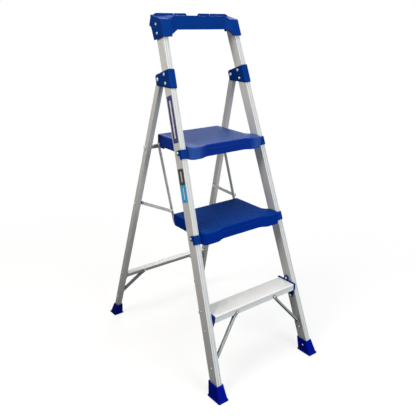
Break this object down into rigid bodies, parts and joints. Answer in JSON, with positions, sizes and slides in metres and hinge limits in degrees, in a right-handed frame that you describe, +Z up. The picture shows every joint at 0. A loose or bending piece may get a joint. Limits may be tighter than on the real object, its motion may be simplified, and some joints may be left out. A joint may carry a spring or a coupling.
{
  "type": "folding step stool",
  "caption": "Folding step stool with splayed front stiles, moulded treads, a fixed bottom step, a hinged rear frame, drop links and stays, and a handle with a tray on top.",
  "frame": {"origin": "on the floor, in the middle of the stool's footprint", "axes": "+X to the right of a person climbing, +Y from the front of the stool towards its rear legs, +Z up"},
  "size_m": [0.46, 0.6834, 1.1335],
  "materials": {
    "blue_plastic": "fine-grained moulded",
    "aluminium": "drawn, satin",
    "step_aluminium": "ribbed, satin",
    "zinc_steel": "zinc plated",
    "foot_rubber": "matte moulded"
  },
  "bodies": {
    "front_frame": {"left_front_stile": "aluminium", "right_front_stile": "aluminium", "top_handle": "blue_plastic", "left_hinge_bracket": "blue_plastic", "right_hinge_bracket": "blue_plastic", "left_top_tread_clip": "blue_plastic", "right_top_tread_clip": "blue_plastic", "left_low_tread_clip": "blue_plastic", "right_low_tread_clip": "blue_plastic", "bottom_step": "step_aluminium", "left_step_bracket": "blue_plastic", "right_step_bracket": "blue_plastic", "left_front_strut": "zinc_steel", "right_front_strut": "zinc_steel", "left_front_foot": "foot_rubber", "right_front_foot": "foot_rubber", "handle_rivets": "zinc_steel", "hinge_bracket_rivets": "zinc_steel", "rear_hinge_pins": "zinc_steel", "tread_pivot_pins": "zinc_steel", "step_bracket_rivets": "zinc_steel", "front_strut_rivets": "zinc_steel", "front_foot_rivets": "zinc_steel"},
    "rear_frame": {"left_rear_leg": "aluminium", "right_rear_leg": "aluminium", "rear_cross_tube": "zinc_steel", "rear_crossbar": "zinc_steel", "left_rear_strut": "zinc_steel", "right_rear_strut": "zinc_steel", "left_rear_foot": "foot_rubber", "right_rear_foot": "foot_rubber", "cross_tube_rivets": "zinc_steel", "crossbar_rivets": "zinc_steel", "rear_strut_rivets": "zinc_steel", "rear_foot_rivets": "zinc_steel", "stay_leg_pins": "zinc_steel"},
    "top_step": {"top_tread": "blue_plastic", "top_link_pins": "zinc_steel"},
    "lower_step": {"lower_tread": "blue_plastic", "left_lower_tread_rail": "zinc_steel", "right_lower_tread_rail": "zinc_steel", "lower_link_pins": "zinc_steel"},
    "left_drop": {"left_drop_link": "zinc_steel"},
    "right_drop": {"right_drop_link": "zinc_steel"},
    "left_brace": {"left_stay": "zinc_steel", "left_stay_rivet": "zinc_steel"},
    "right_brace": {"right_stay": "zinc_steel", "right_stay_rivet": "zinc_steel"}
  },
  "joints": [
    {"name": "rear_frame_fold", "type": "hinge", "parent": "front_frame", "child": "rear_frame", "pos_m": [0, 0.08735, 0.938], "axis": [1, 0, 0], "range_deg": [-31.72, 0]},
    {"name": "top_tread_fold", "type": "hinge", "parent": "front_frame", "child": "top_step", "pos_m": [0, -0.04096, 0.73], "axis": [1, 0, 0], "range_deg": [-0.05, 61.45]},
    {"name": "lower_tread_fold", "type": "hinge", "parent": "front_frame", "child": "lower_step", "pos_m": [0, -0.13493, 0.48], "axis": [1, 0, 0], "range_deg": [-0.05, 61.45]},
    {"name": "left_drop_link_pivot", "type": "hinge", "parent": "top_step", "child": "left_drop", "pos_m": [0, 0.12404, 0.719], "axis": [1, 0, 0], "range_deg": [-61.45, 0.05]},
    {"name": "left_stay_pivot", "type": "hinge", "parent": "rear_frame", "child": "left_brace", "pos_m": [0, 0.19749, 0.4965], "axis": [1, 0, 0], "range_deg": [-61.68, 0.05]},
    {"name": "right_drop_link_pivot", "type": "hinge", "parent": "top_step", "child": "right_drop", "pos_m": [0, 0.12404, 0.719], "axis": [1, 0, 0], "range_deg": [-61.45, 0.05]},
    {"name": "right_stay_pivot", "type": "hinge", "parent": "rear_frame", "child": "right_brace", "pos_m": [0, 0.19749, 0.4965], "axis": [1, 0, 0], "range_deg": [-61.68, 0.05]}
  ],
  "couplings": [
    {"joint": "top_tread_fold", "follows": "rear_frame_fold", "ratio": -1.9357},
    {"joint": "lower_tread_fold", "follows": "rear_frame_fold", "ratio": -1.9357},
    {"joint": "left_drop_link_pivot", "follows": "rear_frame_fold", "ratio": 1.9357},
    {"joint": "left_stay_pivot", "follows": "rear_frame_fold", "ratio": 1.9429},
    {"joint": "right_drop_link_pivot", "follows": "rear_frame_fold", "ratio": 1.9357},
    {"joint": "right_stay_pivot", "follows": "rear_frame_fold", "ratio": 1.9429}
  ]
}
